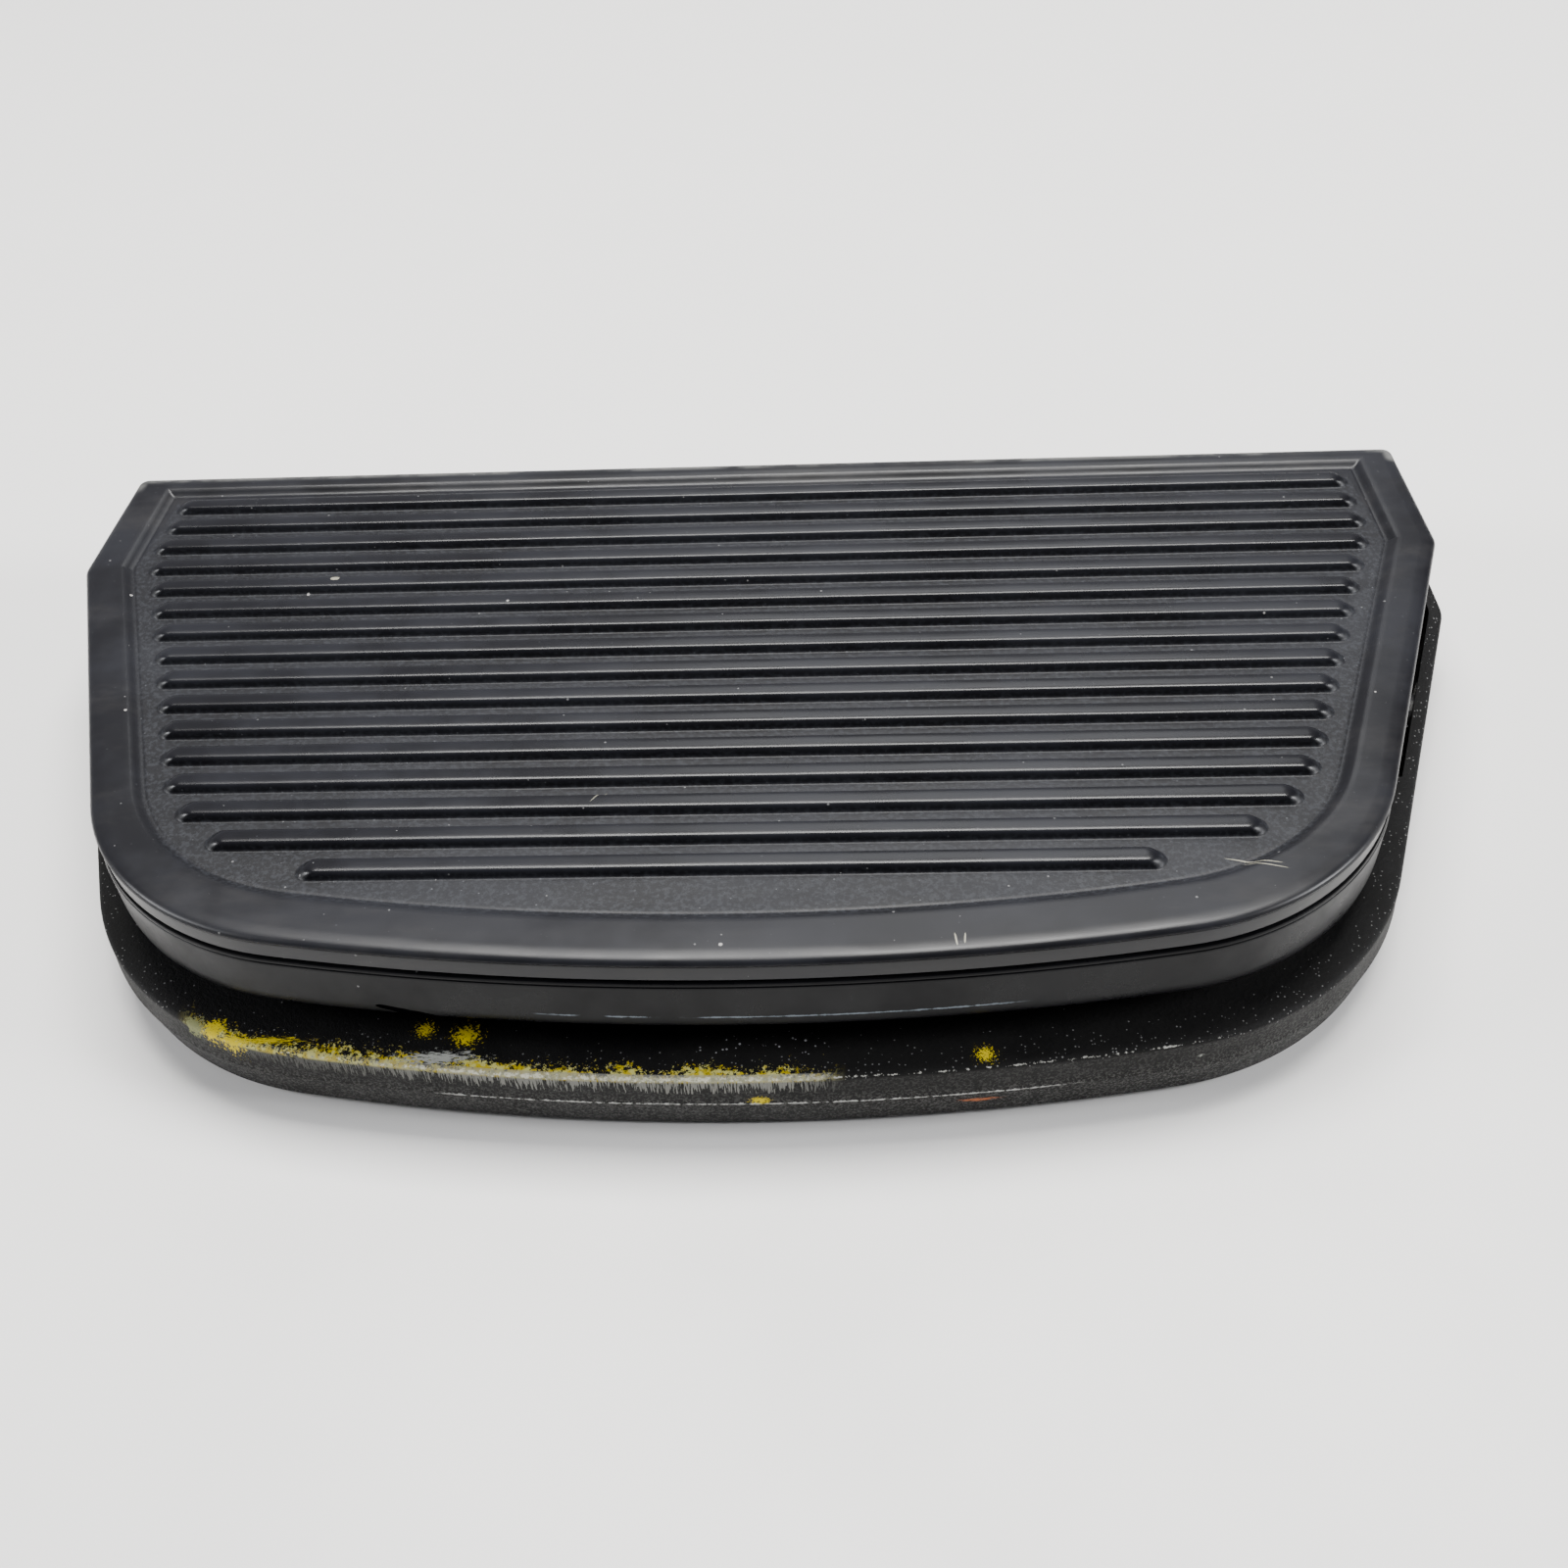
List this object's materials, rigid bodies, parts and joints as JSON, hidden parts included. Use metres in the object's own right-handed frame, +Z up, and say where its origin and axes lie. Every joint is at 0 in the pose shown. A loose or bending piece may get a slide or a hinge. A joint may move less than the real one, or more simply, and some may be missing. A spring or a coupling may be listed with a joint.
{
  "type": "volume pedal",
  "caption": "Low rocking foot pedal: a ribbed rubber-covered treadle in a cast tray turns a potentiometer through a toothed sector.",
  "frame": {"origin": "on the surface that the pedal stands on, under the middle of the tray and of the pivot axis", "axes": "+X to the right along the ribs and the pivot axis, +Y towards the straight rear edge, +Z up"},
  "size_m": [0.2584, 0.1416, 0.0351],
  "materials": {
    "tread_rubber": "moulded black rubber with a satin sheen, dusty and lightly scratched",
    "band_rubber": "smooth satin black rubber, scuffed near its lower edge",
    "tray_coating": "fine-grained black textured coating, worn to bright metal and yellow paint along the front edge",
    "pan_alloy": "plain pressed alloy",
    "zinc_steel": "zinc plated steel",
    "brass": "turned brass, slightly dull",
    "white_nylon": "natural off-white nylon",
    "black_plastic": "moulded black plastic",
    "soft_rubber": "matt soft rubber",
    "lead_jacket": "satin black lead jacket"
  },
  "bodies": {
    "base": {"base_tray": "tray_coating", "foot_front_left": "soft_rubber", "foot_rear_left": "soft_rubber", "foot_front_right": "soft_rubber", "foot_rear_right": "soft_rubber", "stop_bumper_front_left": "soft_rubber", "stop_bumper_rear_left": "soft_rubber", "stop_bumper_front_right": "soft_rubber", "stop_bumper_rear_right": "soft_rubber", "hinge_bracket_left": "zinc_steel", "hinge_screw_left_1": "zinc_steel", "hinge_screw_left_2": "zinc_steel", "friction_washer_left": "white_nylon", "pivot_pin_left": "zinc_steel", "retaining_clip_left": "zinc_steel", "hinge_bracket_right": "zinc_steel", "hinge_screw_right_1": "zinc_steel", "hinge_screw_right_2": "zinc_steel", "friction_washer_right": "white_nylon", "pivot_pin_right": "zinc_steel", "retaining_clip_right": "zinc_steel", "pot_body": "black_plastic", "pot_bracket": "zinc_steel", "pot_bracket_screw_1": "zinc_steel", "pot_bracket_screw_2": "zinc_steel", "pot_washer": "zinc_steel", "pot_nut": "brass", "input_jack": "black_plastic", "input_jack_screw": "zinc_steel", "output_jack": "black_plastic", "output_jack_screw": "zinc_steel", "input_lead": "lead_jacket", "output_lead": "lead_jacket"},
    "treadle": {"treadle_pan": "pan_alloy", "tread_band": "band_rubber", "tread_mat": "tread_rubber", "sector_gear": "white_nylon", "sector_screw_1": "zinc_steel", "sector_screw_2": "zinc_steel", "treadle_lug_left": "zinc_steel", "lug_screw_left_1": "zinc_steel", "lug_screw_left_2": "zinc_steel", "pivot_bush_left": "white_nylon", "treadle_lug_right": "zinc_steel", "lug_screw_right_1": "zinc_steel", "lug_screw_right_2": "zinc_steel", "pivot_bush_right": "white_nylon"},
    "shaft": {"pot_shaft": "brass", "pinion_gear": "white_nylon"}
  },
  "joints": [
    {"name": "treadle_rock", "type": "hinge", "parent": "base", "child": "treadle", "pos_m": [0, 0, 0.015], "axis": [1, 0, 0], "range_deg": [-7.1, 5.3]},
    {"name": "pot_turn", "type": "hinge", "parent": "base", "child": "shaft", "pos_m": [0, 0.03272, 0.01271], "axis": [1, 0, 0], "range_deg": [-39, 52]}
  ],
  "couplings": [
    {"joint": "pot_turn", "follows": "treadle_rock", "ratio": -7.2}
  ]
}
